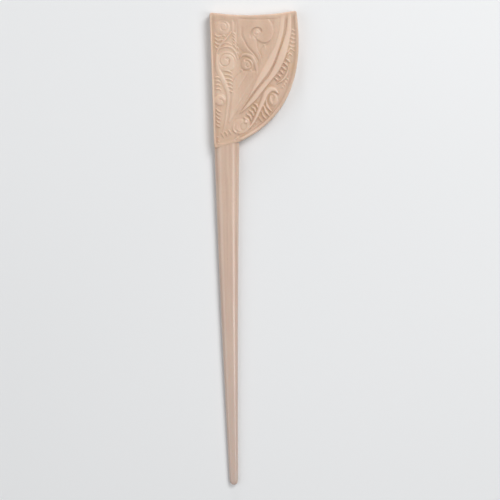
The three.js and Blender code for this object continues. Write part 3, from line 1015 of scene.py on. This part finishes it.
HEAD_FINISH = BoneFinish(
    "carved_bone",
    tan=(0.605, 0.41, 0.295),
    pale=(0.72, 0.53, 0.40),
    deep=(0.36, 0.21, 0.14),
    carved=True,
    grain=0.1,
    roughness=0.42,
    coat=0.2,
)
BLADE_FINISH = BoneFinish(
    "blade_bone",
    tan=(0.63, 0.43, 0.325),
    pale=(0.70, 0.52, 0.40),
    deep=(0.42, 0.27, 0.19),
    greying=0.75,
    streaks=0.5,
    roughness=0.3,
    coat=0.6,
)
PEG_FINISH = BoneFinish(
    "peg_bone",
    tan=(0.70, 0.54, 0.40),
    pale=(0.80, 0.66, 0.52),
    deep=(0.34, 0.20, 0.12),
    cut=BoneCut.ACROSS,
    roughness=0.42,
)


# ---- The head ----


@dataclass(frozen=True)
class RimSide:
    """How the field rises to the rim along one side of the head."""

    line: np.ndarray
    width: float | np.ndarray
    fall: float | np.ndarray
    groove: float | np.ndarray = 0.0
    groove_width: float = 0.5


@dataclass
class CarvedHead:
    """The fan-shaped head: a carved face, rounded edges, and a flat back with two peg holes."""

    layout: Layout
    plan: HeadPlan = field(default_factory=HeadPlan)
    spacing: float = 0.13
    front_edge: float = 0.45
    top_bevel: float = 0.75
    foot_edge: float = 0.04
    back_edge: float = 0.45
    edge_rings: int = 4
    side_rim: float = 0.7
    top_rim: float = 0.6
    sweep_rim: float = 0.5
    foot_rim: float = 0.3
    rim_shoulder: float = 0.3
    foot_sink: float = 0.24
    foot_reach: float = 1.8
    margin: float = 3.6
    softening: float = 0.1
    hollow_reach: float = 0.55
    hollow_full: float = 0.3
    hole_diameter: float = 1.9
    hole_depth: float = 0.6
    hole_sides: int = 32
    # Painted shade along the curved side's margin, starting above the foot.
    margin_shade: float = 0.75
    margin_start: float = 6.0
    margin_run: float = 8.0
    # Painted shade in a strip just inside the straight side.
    side_shade: float = 0.4
    side_place: float = 1.5
    side_reach: float = 0.9
    # The painted highlight on the raised faces, weaker in the hollows and near the top edge.
    highlight_depth: float = 0.1
    highlight_run: float = 0.12
    highlight_fall: float = 2.5
    unlit_top: float = 0.5
    unlit_run: float = 3.0
    least_highlight: float = 0.2
    low_part_top: float = 26.0
    low_part_run: float = 14.0
    low_lines: tuple[Point, ...] = ((0.75, -0.1), (1.75, 0.2))
    low_line_reach: float = 0.35
    tone_inset: float = 0.3
    edge_run: float = 0.8
    side_levels: tuple[float, ...] = (0.7, 0.4)

    def build(self) -> bpy.types.Object:
        """Models the head.

        Returns:
            The finished piece.
        """
        piece = self.carved_sheet()
        self.edge_and_back(piece)
        finish_mesh(piece, smooth_angle=60)
        HEAD_FINISH.dress(piece, "head_bone")
        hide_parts("carved_head")
        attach(piece, "root")
        return piece

    def relief(self, across: np.ndarray, up: np.ndarray) -> tuple[np.ndarray, ...]:
        """Carves the face over a net.

        Args:
            across: The net's columns.
            up: The net's rows.

        Returns:
            The heights from the rim's level, how hollow each place is with painted shade added at the
            margins, and the painted highlight on raised faces.
        """
        work = CarvedField(across, up, FIELD_LEVEL)
        rim = self.rim(work)
        for strokes in (
            straight_side_scrolls(), middle_spiral(), great_scroll(), plain_leaf(),
            sweeping_bands(), curved_side_carving(), foot_carving(),
        ):
            for stroke in strokes:
                stroke.carve(work)
        work.height = np.maximum(work.height, rim)
        heights = work.blurred(work.height, self.softening)
        hollow = (work.blurred(heights, self.hollow_reach) - heights) / self.hollow_full
        to_foot = distance_to(self.plan.foot_line(), work.x, work.y)
        heights -= eased(self.foot_sink, held(1 - to_foot / self.foot_reach))
        to_sweep = distance_to(self.plan.curved_side(), work.x, work.y)
        above_foot = held((work.y - self.margin_start) / self.margin_run)
        # Painted shade: the margin along the curved side is darkened, from above the foot upwards.
        hollow += self.margin_shade * held(1 - to_sweep / self.margin) * above_foot
        to_side = distance_to(self.plan.straight_side(), work.x, work.y)
        # Painted shade: a strip just inside the straight side is darkened.
        hollow += self.side_shade * held(1 - np.abs(to_side - self.side_place) / self.side_reach)
        to_top = distance_to(self.plan.top_edge(), work.x, work.y)
        # Painted highlight: the raised faces are lightened, less so in the hollows and near the top edge.
        raised_highlight = held((heights + self.highlight_depth) / self.highlight_run) * held(1 - self.highlight_fall * hollow)
        raised_highlight *= np.clip((to_top - self.unlit_top) / self.unlit_run, self.least_highlight, 1)
        return heights, np.clip(hollow, -1, 1), raised_highlight

    def rim(self, work: CarvedField) -> np.ndarray:
        """Lets the field rise to the rim along each side, with a cut just inside it.

        Args:
            work: The field, which is shaped.

        Returns:
            The rim's own level, which no stroke goes below.
        """
        x, y = work.x, work.y
        inside = inside_of(self.plan.outline(), x, y)
        low_part = held((self.low_part_top - y) / self.low_part_run)
        sides = (
            RimSide(self.plan.straight_side(), self.side_rim, fall=0.4, groove=0.3, groove_width=0.9),
            RimSide(self.plan.top_edge(), self.top_rim, fall=3.0),
            RimSide(
                self.plan.curved_side(),
                self.sweep_rim + 0.5 * low_part,
                fall=1.2 - 0.6 * low_part,
                groove=0.1 * low_part,
            ),
            RimSide(self.plan.foot_line(), self.foot_rim, fall=1.8),
        )
        rim = np.full(x.shape, FIELD_LEVEL)
        for side in sides:
            distance = np.where(inside, distance_to(side.line, x, y), 0)
            beyond = held((distance - side.width) / side.fall)
            work.height = np.maximum(work.height, eased(FIELD_LEVEL, beyond))
            off_groove = np.abs(distance - side.width - side.groove_width / 2)
            work.height -= eased(side.groove, held(1 - off_groove / side.groove_width))
            steep = held((distance - side.width) / self.rim_shoulder)
            rim = np.maximum(rim, FIELD_LEVEL * np.sqrt(steep))
        edge = distance_to(self.plan.curved_side(), x, y)
        for place, raised in self.low_lines:
            line = held(1 - np.abs(edge - place) / self.low_line_reach)
            work.height += np.where(inside, eased(raised, line) * low_part, 0)
        return rim

    def carved_sheet(self) -> bpy.types.Object:
        """Lays a fine net over the head, trims it to the outline and carves it.

        Returns:
            The carved face, open at its edge.
        """
        outline = self.plan.outline()
        low = outline.min(axis=0)
        high = outline.max(axis=0)
        columns, rows = np.ceil((high - low) / self.spacing).astype(int)
        deselect_all()
        bpy.ops.mesh.primitive_grid_add(x_subdivisions=int(columns), y_subdivisions=int(rows), size=1)
        piece = bpy.context.object
        piece.name = "carved_bone_head"
        piece.data.name = piece.name
        across = np.linspace(low[0], high[0], columns + 1)
        up = np.linspace(low[1], high[1], rows + 1)
        heights, hollow, raised_highlight = self.relief(across, up)
        x, y = np.meshgrid(across, up)
        middle_x = (x[1:, 1:] + x[:-1, :-1]) / 2
        middle_y = (y[1:, 1:] + y[:-1, :-1]) / 2
        kept = inside_of(outline, middle_x, middle_y)
        cells = np.zeros((rows + 3, columns + 3), bool)
        cells[1:-1, 1:-1][:rows, :columns] = kept
        around = [cells[1 - i : rows + 2 - i, 1 - j : columns + 2 - j] for i in (0, 1) for j in (0, 1)]
        edge = np.any(around, axis=0) & ~np.all(around, axis=0)
        distance, _, foot_x, foot_y = nearest_on(outline, x, y)
        x = np.where(edge, foot_x, x)
        y = np.where(edge, foot_y, y)
        distance = np.where(edge, 0, np.abs(distance))
        radius = self.edge_radius(x, y, distance)
        inward = held(1 - distance / radius)
        drop = radius * (1 - np.sqrt(1 - inward**2))
        height = self.layout.face + heights - drop
        piece.data.vertices.foreach_set("co", self.layout.metres(x, y, height).ravel())
        hollow = np.where(distance > self.tone_inset, hollow, 0)
        # Stores the hollow attribute, which carries grime and painted shade, and the painted highlight on the
        # raised faces, for the finish.
        for name, values in ((HOLLOW_SHADE_ATTRIBUTE, hollow), (RAISED_HIGHLIGHT_ATTRIBUTE, raised_highlight)):
            attribute = piece.data.attributes.new(name, "FLOAT", "POINT")
            attribute.data.foreach_set("value", values.ravel())
        self.trim(piece, kept)
        return piece

    def edge_radius(self, x: np.ndarray, y: np.ndarray, distance: np.ndarray) -> np.ndarray:
        """How far the face's edge is rounded: wide along the top, slight where the blade joins.

        Args:
            x: Places across.
            y: Places along the tool.
            distance: Their distances from the outline.

        Returns:
            The rounding's radius at each place.
        """
        radius = np.full(x.shape, self.front_edge)
        for line, own in ((self.plan.top_edge(), self.top_bevel), (self.plan.foot_line(), self.foot_edge)):
            beyond = distance_to(line, x, y) - distance
            share = held(1 - beyond / self.edge_run)
            radius = radius + (own - self.front_edge) * share
        return radius

    def trim(self, piece: bpy.types.Object, kept: np.ndarray) -> None:
        """Deletes the net's faces outside the outline."""
        take_up(piece)
        bpy.context.tool_settings.mesh_select_mode = (False, False, True)
        piece.data.polygons.foreach_set("select", ~kept.ravel())
        bpy.ops.object.mode_set(mode="EDIT")
        bpy.ops.mesh.delete(type="FACE")
        bpy.ops.object.mode_set(mode="OBJECT")

    def edge_and_back(self, piece: bpy.types.Object) -> None:
        """Draws the edge of the face down to the back, rounds it there and closes the back."""
        outline = self.plan.outline()
        unit = self.layout.unit
        take_up(piece)
        bpy.ops.object.mode_set(mode="EDIT")
        bpy.ops.mesh.select_mode(type="EDGE")
        bpy.ops.mesh.select_all(action="SELECT")
        bpy.ops.mesh.region_to_loop()
        levels = [(0.0, self.layout.face * share) for share in self.side_levels]
        turns = [math.pi / 2 * i / self.edge_rings for i in range(self.edge_rings + 1)]
        levels += [
            (self.back_edge * (1 - math.cos(turn)), self.back_edge * (1 - math.sin(turn))) for turn in turns
        ]
        origin = np.array(self.layout.origin)
        inset = 0.0
        for depth, level in levels:
            bpy.ops.mesh.extrude_region_move()
            mesh = bmesh.from_edit_mesh(piece.data)
            ring = selected(mesh)
            places = (np.array([v.co for v in ring]) - origin) / unit
            inward = self.inward(outline, places[:, 0], places[:, 1])
            places[:, :2] += inward * (depth - inset)
            places[:, 2] = level
            for vertex, place in zip(ring, places * unit + origin):
                vertex.co = place
            bmesh.update_edit_mesh(piece.data)
            inset = depth
        self.close_back(piece)

    def inward(self, outline: np.ndarray, x: np.ndarray, y: np.ndarray) -> np.ndarray:
        """The inward direction of the outline at places on or near it.

        Args:
            outline: The closed outline.
            x: The places across.
            y: The places along the tool.

        Returns:
            One unit vector for each place.
        """
        along = np.roll(outline[:-1], -1, axis=0) - np.roll(outline[:-1], 1, axis=0)
        along /= np.hypot(*along.T)[:, None]
        normals = np.column_stack([-along[:, 1], along[:, 0]])
        normals = np.vstack([normals, normals[:1]])
        share = nearest_on(outline, x, y)[1] * (len(outline) - 1)
        return np.column_stack(
            [np.interp(share, np.arange(len(outline)), normals[:, axis]) for axis in (0, 1)]
        )

    def close_back(self, piece: bpy.types.Object) -> None:
        """Fills the back round two blind peg holes."""
        unit = self.layout.unit
        back = self.layout.origin.z
        for node in PEG_NODES:
            low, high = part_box(node)
            centre = (low + high) / 2
            bpy.ops.mesh.select_all(action="DESELECT")
            bpy.ops.mesh.primitive_circle_add(
                vertices=self.hole_sides,
                radius=self.hole_diameter / 2 * unit,
                location=(centre.x, centre.y, back),
            )
        mesh = bmesh.from_edit_mesh(piece.data)
        for edge in mesh.edges:
            edge.select = edge.is_boundary or edge.is_wire
        bmesh.update_edit_mesh(piece.data)
        bpy.ops.mesh.fill(use_beauty=True)
        self.sink_holes(piece, back)

    def sink_holes(self, piece: bpy.types.Object, back: float) -> None:
        """Draws each peg hole's edge up into the bone and closes its blind end."""
        unit = self.layout.unit
        for _ in PEG_NODES:
            bpy.ops.mesh.select_all(action="DESELECT")
            mesh = bmesh.from_edit_mesh(piece.data)
            open_edges = [e for e in mesh.edges if e.is_boundary]
            start = open_edges[0]
            centre = self.hole_centre(start.verts[0].co)
            for edge in open_edges:
                edge.select = (edge.verts[0].co - centre).length < self.hole_diameter * unit
            bmesh.update_edit_mesh(piece.data)
            bpy.ops.mesh.extrude_region_move(TRANSFORM_OT_translate={"value": (0, 0, self.hole_depth * unit)})
            bpy.ops.mesh.edge_face_add()

    def hole_centre(self, near: Vector) -> Vector:
        """The centre of the peg hole that a point belongs to."""
        centres = []
        for node in PEG_NODES:
            low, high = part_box(node)
            centres.append(Vector(((low.x + high.x) / 2, (low.y + high.y) / 2, low.z)))
        return min(centres, key=lambda centre: (centre - near).length)


# ---- The blade ----


@dataclass
class TaperedBlade:
    """The blade: one rounded section drawn out to a slim, round tip."""

    layout: Layout
    plan: HeadPlan = field(default_factory=HeadPlan)
    thickness: float = 4.5
    tip_width: float = 3.2
    tip_thickness: float = 2.2
    tip_rounding: float = 2.4
    tip_fullness: float = 2.8
    tip_thinning: float = 0.35
    bow: float = 0.3
    front_round: float = 0.32
    back_round: float = 0.14
    edge_level: float = 0.4
    face_crown: float = 0.03
    round_steps: int = 14
    flat_steps: int = 4
    stations: int = 44
    tip_stations: int = 12
    seam: float = 0.004

    @property
    def length(self) -> float:
        """From the foot of the straight side to the tip, in the plan's millimetres."""
        return (self.layout.origin.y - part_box("tapered_blade")[0].y) / self.layout.unit

    def build(self) -> bpy.types.Object:
        """Models the blade.

        Returns:
            The finished piece.
        """
        piece = self.neck_ring()
        self.draw_out(piece)
        self.meet_head(piece)
        finish_mesh(piece, smooth_angle=50)
        BLADE_FINISH.dress(piece, "blade_bone")
        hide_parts("tapered_blade")
        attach(piece, "root")
        return piece

    def section(self) -> np.ndarray:
        """The section at the neck: x and z of its points, anticlockwise seen from the tip."""
        width = self.plan.neck
        high = self.thickness
        edge = high * self.edge_level
        points: list[Point] = []
        quarter = math.pi / 2
        corners = (
            (1, self.front_round, high - edge, 0.0, quarter),
            (-1, self.front_round, high - edge, quarter, 0.0),
            (-1, self.back_round, -edge, 0.0, quarter),
            (1, self.back_round, -edge, quarter, 0.0),
        )
        for sign, share, rise, start, end in corners:
            for step in range(self.round_steps + 1):
                angle = start + (end - start) * step / self.round_steps
                x = sign * width * (0.5 - share + share * math.cos(angle))
                points.append((x, edge + rise * math.sin(angle)))
            flat = width * (0.5 - share)
            if start == 0.0:
                for step in range(1, self.flat_steps):
                    x = sign * flat * (1 - 2 * step / self.flat_steps)
                    rise_here = self.face_crown * (1 - (x / flat) ** 2) if rise > 0 else 0.0
                    points.append((x, edge + rise + rise_here))
        distinct = [p for i, p in enumerate(points) if math.dist(p, points[i - 1]) > 1e-6]
        return np.array(distinct)

    def neck_ring(self) -> bpy.types.Object:
        """Shapes the first ring, just under the joint line."""
        section = self.section()
        deselect_all()
        bpy.ops.mesh.primitive_circle_add(vertices=len(section), radius=1)
        piece = bpy.context.object
        piece.name = "tapered_bone_blade"
        piece.data.name = piece.name
        places = self.layout.metres(section[:, 0], np.zeros(len(section)), section[:, 1])
        piece.data.vertices.foreach_set("co", places.ravel())
        piece.data.update()
        return piece

    def sizes_at(self, along: float) -> tuple[float, float, float]:
        """The blade's width, thickness and bow, a share of the way from the foot to the tip."""
        width = self.plan.neck + (self.tip_width - self.plan.neck) * along
        thick = self.thickness + (self.tip_thickness - self.thickness) * along
        return width, thick, self.bow * (1 - (2 * along - 1) ** 2)

    def draw_out(self, piece: bpy.types.Object) -> None:
        """Extrudes the ring station by station to the tip and closes it there."""
        body = np.linspace(0, 1 - self.tip_rounding / self.length, self.stations + 1)[1:]
        turns = np.linspace(0, math.pi / 2, self.tip_stations + 1)[1:-1]
        ends = 1 - self.tip_rounding / self.length * (1 - np.sin(turns))
        take_up(piece)
        bpy.ops.object.mode_set(mode="EDIT")
        bpy.ops.mesh.select_mode(type="VERT")
        bpy.ops.mesh.select_all(action="SELECT")
        section = self.section()
        for along in [*body, *ends]:
            width, thick, bow = self.sizes_at(along)
            left = max((along - 1) * self.length / self.tip_rounding + 1, 0.0)
            roundness = max(1 - left**self.tip_fullness, 0.0) ** (1 / self.tip_fullness)
            lift = self.tip_thinning + (1 - self.tip_thinning) * roundness
            bpy.ops.mesh.extrude_region_move()
            mesh = bmesh.from_edit_mesh(piece.data)
            ring = selected(mesh)
            self.place_ring(piece, ring, section, width * roundness, thick, lift, bow, along)
        bpy.ops.mesh.extrude_region_move()
        mesh = bmesh.from_edit_mesh(piece.data)
        ring = selected(mesh)
        tip_level = self.tip_thickness * self.edge_level
        tip = self.layout.metres(np.zeros(1), np.array([-self.length]), np.array([tip_level]))
        for vertex in ring:
            vertex.co = Vector(tip[0])
        bmesh.update_edit_mesh(piece.data)
        bpy.ops.mesh.remove_doubles(threshold=1e-7)
        bpy.ops.object.mode_set(mode="OBJECT")

    def place_ring(
        self,
        piece: bpy.types.Object,
        ring: list[bmesh.types.BMVert],
        section: np.ndarray,
        width: float,
        thick: float,
        lift: float,
        bow: float,
        along: float,
    ) -> None:
        """Puts a new ring in its place, a scaled copy of the neck's section."""
        order = sorted(ring, key=lambda vertex: vertex.index)
        across = section[:, 0] * width / self.plan.neck - bow
        height = section[:, 1] * thick / self.thickness
        edge = thick * self.edge_level
        height = edge + (height - edge) * lift
        places = self.layout.metres(across, np.full(len(section), -self.length * along), height)
        for vertex, place in zip(order, places):
            vertex.co = Vector(place)
        bmesh.update_edit_mesh(piece.data)

    def meet_head(self, piece: bpy.types.Object) -> None:
        """Shapes the blade's upper end to the joint line and closes it."""
        take_up(piece)
        bpy.ops.object.mode_set(mode="EDIT")
        mesh = bmesh.from_edit_mesh(piece.data)
        for vertex in mesh.verts:
            vertex.select = any(edge.is_boundary for edge in vertex.link_edges)
        mesh.select_flush(True)
        bpy.ops.mesh.extrude_region_move()
        mesh = bmesh.from_edit_mesh(piece.data)
        ring = selected(mesh)
        line = self.plan.foot_line()
        for vertex in ring:
            across = (vertex.co.x - self.layout.origin.x) / self.layout.unit
            up = np.interp(across, line[:, 0], line[:, 1]) - self.seam
            vertex.co.y = self.layout.origin.y + up * self.layout.unit
        bmesh.update_edit_mesh(piece.data)
        bpy.ops.mesh.edge_face_add()
        bpy.ops.object.mode_set(mode="OBJECT")


# ---- Pegs and glue ----


@dataclass
class Pegs:
    """Two bone pegs, sanded flush with the back. Their sizes are in metres."""

    length: float = 0.0006
    diameter_share: float = 0.98
    sides: int = 32
    sunk: float = 0.00002
    soft_edge: float = 0.00008

    def build(self) -> list[bpy.types.Object]:
        """Models one peg and copies it for the other hole.

        Returns:
            The pegs.
        """
        first, second = PEG_NODES
        peg = self.turned(first)
        copy = peg.copy()
        copy.data = peg.data.copy()
        copy.name = f"bone_{second}"
        copy.data.name = copy.name
        bpy.context.collection.objects.link(copy)
        copy.data.transform(self.shift(first, second))
        for piece, node in ((peg, first), (copy, second)):
            PEG_FINISH.dress(piece, "peg_bone")
            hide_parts(node)
            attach(piece, "root")
        return [peg, copy]

    def shift(self, start: str, end: str) -> Matrix:
        """The move from one peg's place to the other's."""
        from_low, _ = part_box(start)
        to_low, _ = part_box(end)
        return Matrix.Translation(to_low - from_low)

    def turned(self, node: str) -> bpy.types.Object:
        """Turns one peg with softened ends, and cuts it to the depth of its hole."""
        low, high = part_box(node)
        centre = (low + high) / 2
        deselect_all()
        bpy.ops.mesh.primitive_cylinder_add(
            vertices=self.sides,
            radius=(high.x - low.x) / 2 * self.diameter_share,
            depth=self.length - self.sunk,
            end_fill_type="NGON",
            location=(centre.x, centre.y, low.z + (self.length + self.sunk) / 2),
        )
        piece = bpy.context.object
        piece.name = f"bone_{node}"
        piece.data.name = piece.name
        bpy.ops.object.transform_apply(location=True, rotation=True, scale=True)
        bpy.ops.object.mode_set(mode="EDIT")
        bpy.ops.mesh.select_mode(type="EDGE")
        bpy.ops.mesh.select_all(action="DESELECT")
        mesh = bmesh.from_edit_mesh(piece.data)
        for edge in mesh.edges:
            heights = [vertex.co.z for vertex in edge.verts]
            edge.select = abs(heights[0] - heights[1]) < self.length / 4
        mesh.select_flush(True)
        bmesh.update_edit_mesh(piece.data)
        bpy.ops.mesh.bevel(offset=self.soft_edge, segments=3)
        bpy.ops.object.mode_set(mode="OBJECT")
        finish_mesh(piece, smooth_angle=40)
        return piece


# ---- Studio ----


@dataclass(frozen=True)
class Softbox:
    """A large soft light that points at the tool."""

    name: str
    place: Colour
    size: Point
    power: float
    tint: Colour = (1.0, 1.0, 1.0)

    def hang(self, target: Vector) -> None:
        """Hangs the light and turns it to the target."""
        lamp = bpy.data.lights.new(self.name, "AREA")
        lamp.shape = "RECTANGLE"
        lamp.size, lamp.size_y = self.size
        lamp.energy = self.power
        lamp.color = self.tint
        holder = bpy.data.objects.new(self.name, lamp)
        holder.location = self.place
        holder.rotation_euler = (target - Vector(self.place)).to_track_quat("-Z", "Y").to_euler()
        bpy.context.collection.objects.link(holder)


@dataclass
class Studio:
    """A pale floor, soft lights and a camera that looks straight down."""

    layout: Layout
    view_width: float = 190.4
    view_centre: Point = (7.99, -38.85)
    turn: float = -1.2152
    lens: float = 120.0
    floor_size: float = 3.0
    floor_gap: float = 0.00002
    room_light: float = 0.22

    def build(self) -> None:
        """Sets the studio up round the tool."""
        self.lay_floor()
        low, high = cad_box
        middle = (Vector(low) + Vector(high)) / 2
        for box in (
            Softbox("key_light", (0.34, 0.42, 0.62), (0.34, 0.34), 3.3),
            Softbox("side_light", (0.42, -0.1, 0.75), (0.22, 0.6), 1.9),
            Softbox("fill_light", (-0.6, 0.0, 0.6), (0.7, 0.7), 2.0),
            Softbox("edge_light", (-0.057, 0.69, 0.12), (0.04, 0.2), 0.9),
        ):
            box.hang(middle)
        self.light_room()
        self.set_camera()

    def lay_floor(self) -> None:
        """Lays the plain pale floor under the tool."""
        low, _ = cad_box
        deselect_all()
        bpy.ops.mesh.primitive_grid_add(
            x_subdivisions=12,
            y_subdivisions=12,
            size=self.floor_size,
            location=(0, 0, low[2] - self.floor_gap),
        )
        floor = bpy.context.object
        floor.name = "studio_floor"
        bpy.ops.object.transform_apply(location=True, rotation=True, scale=True)
        recipe = Recipe("pale_floor")
        clouds = recipe.noise((1.0, 1.0, 1.0), scale=3.0, detail=2.0)
        colour = recipe.mix(clouds.between(0.3, 0.7), (0.80, 0.81, 0.82), (0.83, 0.84, 0.85))
        floor.data.materials.append(recipe.finish(Base_Color=colour, Roughness=0.75))

    def light_room(self) -> None:
        """Fills the room with a soft even light."""
        world = bpy.data.worlds.new("studio_room")
        world.use_nodes = True
        background = world.node_tree.nodes["Background"]
        background.inputs["Color"].default_value = (1.0, 1.0, 1.0, 1.0)
        background.inputs["Strength"].default_value = self.room_light
        bpy.context.scene.world = world
        bpy.context.scene.view_settings.view_transform = "Standard"

    def set_camera(self) -> None:
        """Hangs the camera over the tool, level with it and turned a little."""
        unit = self.layout.unit
        camera = bpy.data.cameras.new("camera")
        camera.lens = self.lens
        camera.clip_start = 0.01
        holder = bpy.data.objects.new("camera", camera)
        distance = self.view_width * unit * camera.lens / camera.sensor_width
        origin = self.layout.origin
        height = self.layout.face / 2
        holder.location = (
            origin.x + self.view_centre[0] * unit,
            origin.y + self.view_centre[1] * unit,
            origin.z + height * unit + distance,
        )
        holder.rotation_euler = (0.0, 0.0, math.radians(self.turn))
        bpy.context.collection.objects.link(holder)
        bpy.context.scene.camera = holder


def main() -> None:
    """Builds the tool piece by piece."""
    logging.basicConfig(level=logging.INFO, format="%(name)s: %(message)s")
    layout = Layout.of_frame()
    made = [CarvedHead(layout).build(), TaperedBlade(layout).build(), *Pegs().build()]
    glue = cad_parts["glue_pad"]
    GlueFinish().dress(glue)
    for piece in [*made, glue]:
        log.info("%s: %d vertices", piece.name, len(piece.data.vertices))
    Studio(layout).build()


if __name__ == "__main__":
    main()
